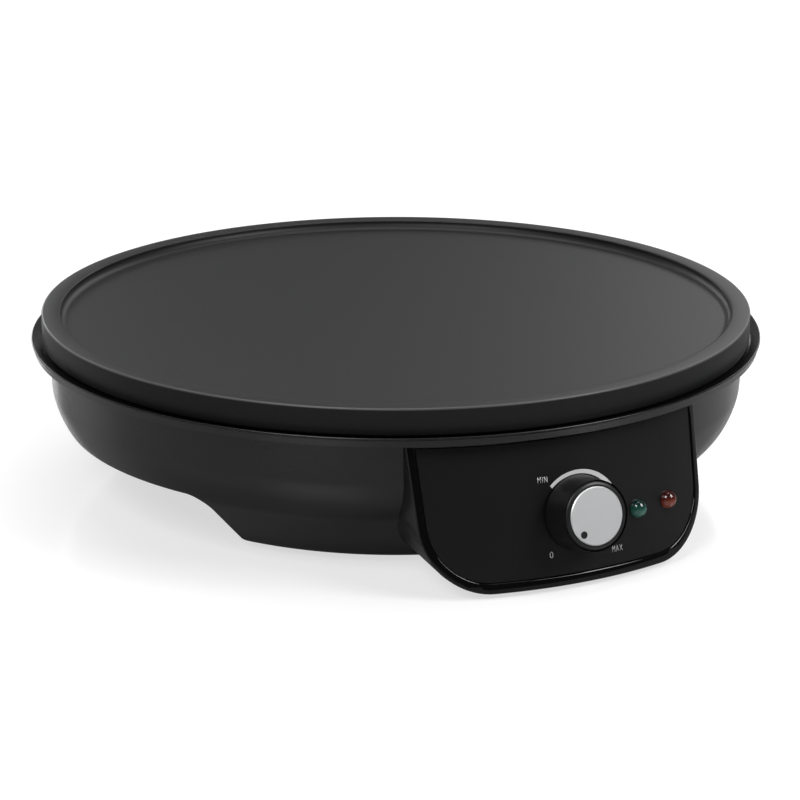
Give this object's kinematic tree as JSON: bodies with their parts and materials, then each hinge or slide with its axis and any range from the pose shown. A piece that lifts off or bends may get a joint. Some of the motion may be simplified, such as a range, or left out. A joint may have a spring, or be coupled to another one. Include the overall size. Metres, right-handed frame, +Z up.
{
  "type": "electric crepe maker",
  "caption": "Round crepe maker: a rimmed non-stick plate on a bowl-shaped base with an arched cut, and a front pod with a thermostat knob and lights.",
  "frame": {"origin": "on the floor, under the middle of the overall width and length", "axes": "+Z up, the control pod faces -Y, +Y is the longest extent"},
  "size_m": [0.312, 0.3301, 0.075],
  "materials": {
    "nonstick_plate": "non-stick coating, satin, on cast aluminium",
    "base_plastic": "moulded, fine satin",
    "panel_plastic": "smooth satin gloss",
    "knob_plastic": "moulded, satin",
    "gland_plastic": "moulded",
    "cap_metal": "anodised, satin",
    "green_lens": "tinted, glossy",
    "red_lens": "tinted, glossy",
    "lamp_glass": "clear",
    "rubber": "matt",
    "steel_parts": "zinc-plated",
    "element_steel": "oxidised sheath",
    "reflector_sheet": "bright sheet",
    "ceramic_parts": "unglazed",
    "copper_tube": "drawn",
    "brass_screws": "nickel-free",
    "stat_body": "phenolic",
    "brown_sleeve": "silicone sleeve",
    "black_sleeve": "silicone sleeve",
    "blue_sleeve": "silicone sleeve"
  },
  "bodies": {
    "base": {"cooking_plate": "nonstick_plate", "base_shell": "base_plastic", "control_panel": "panel_plastic", "cord_gland": "gland_plastic", "green_lens": "green_lens", "red_lens": "red_lens", "neon_lamps": "lamp_glass", "rubber_feet": "rubber", "element_clamps": "steel_parts", "bulb_clamp": "steel_parts", "fuse_clamp": "steel_parts", "clamp_screws": "steel_parts", "plate_screws": "steel_parts", "thermostat_bracket": "steel_parts", "thermostat_screws": "steel_parts", "bracket_screws": "steel_parts", "block_screw": "steel_parts", "heating_element": "element_steel", "heat_reflector": "reflector_sheet", "element_bushes": "ceramic_parts", "plate_spacers": "ceramic_parts", "thermal_fuse": "ceramic_parts", "terminal_block": "ceramic_parts", "sensor_bulb": "copper_tube", "capillary_tube": "copper_tube", "terminal_screws": "brass_screws", "thermostat_body": "stat_body", "live_lead": "brown_sleeve", "load_lead": "black_sleeve", "neutral_lead": "blue_sleeve"},
    "knob": {"control_knob": "knob_plastic", "knob_cap": "cap_metal", "thermostat_shaft": "steel_parts"}
  },
  "joints": [
    {"name": "knob_turn", "type": "hinge", "parent": "base", "child": "knob", "pos_m": [0, -0.14899, 0.0291], "axis": [0, 0.9763, -0.2164], "range_deg": [0, 271]}
  ]
}
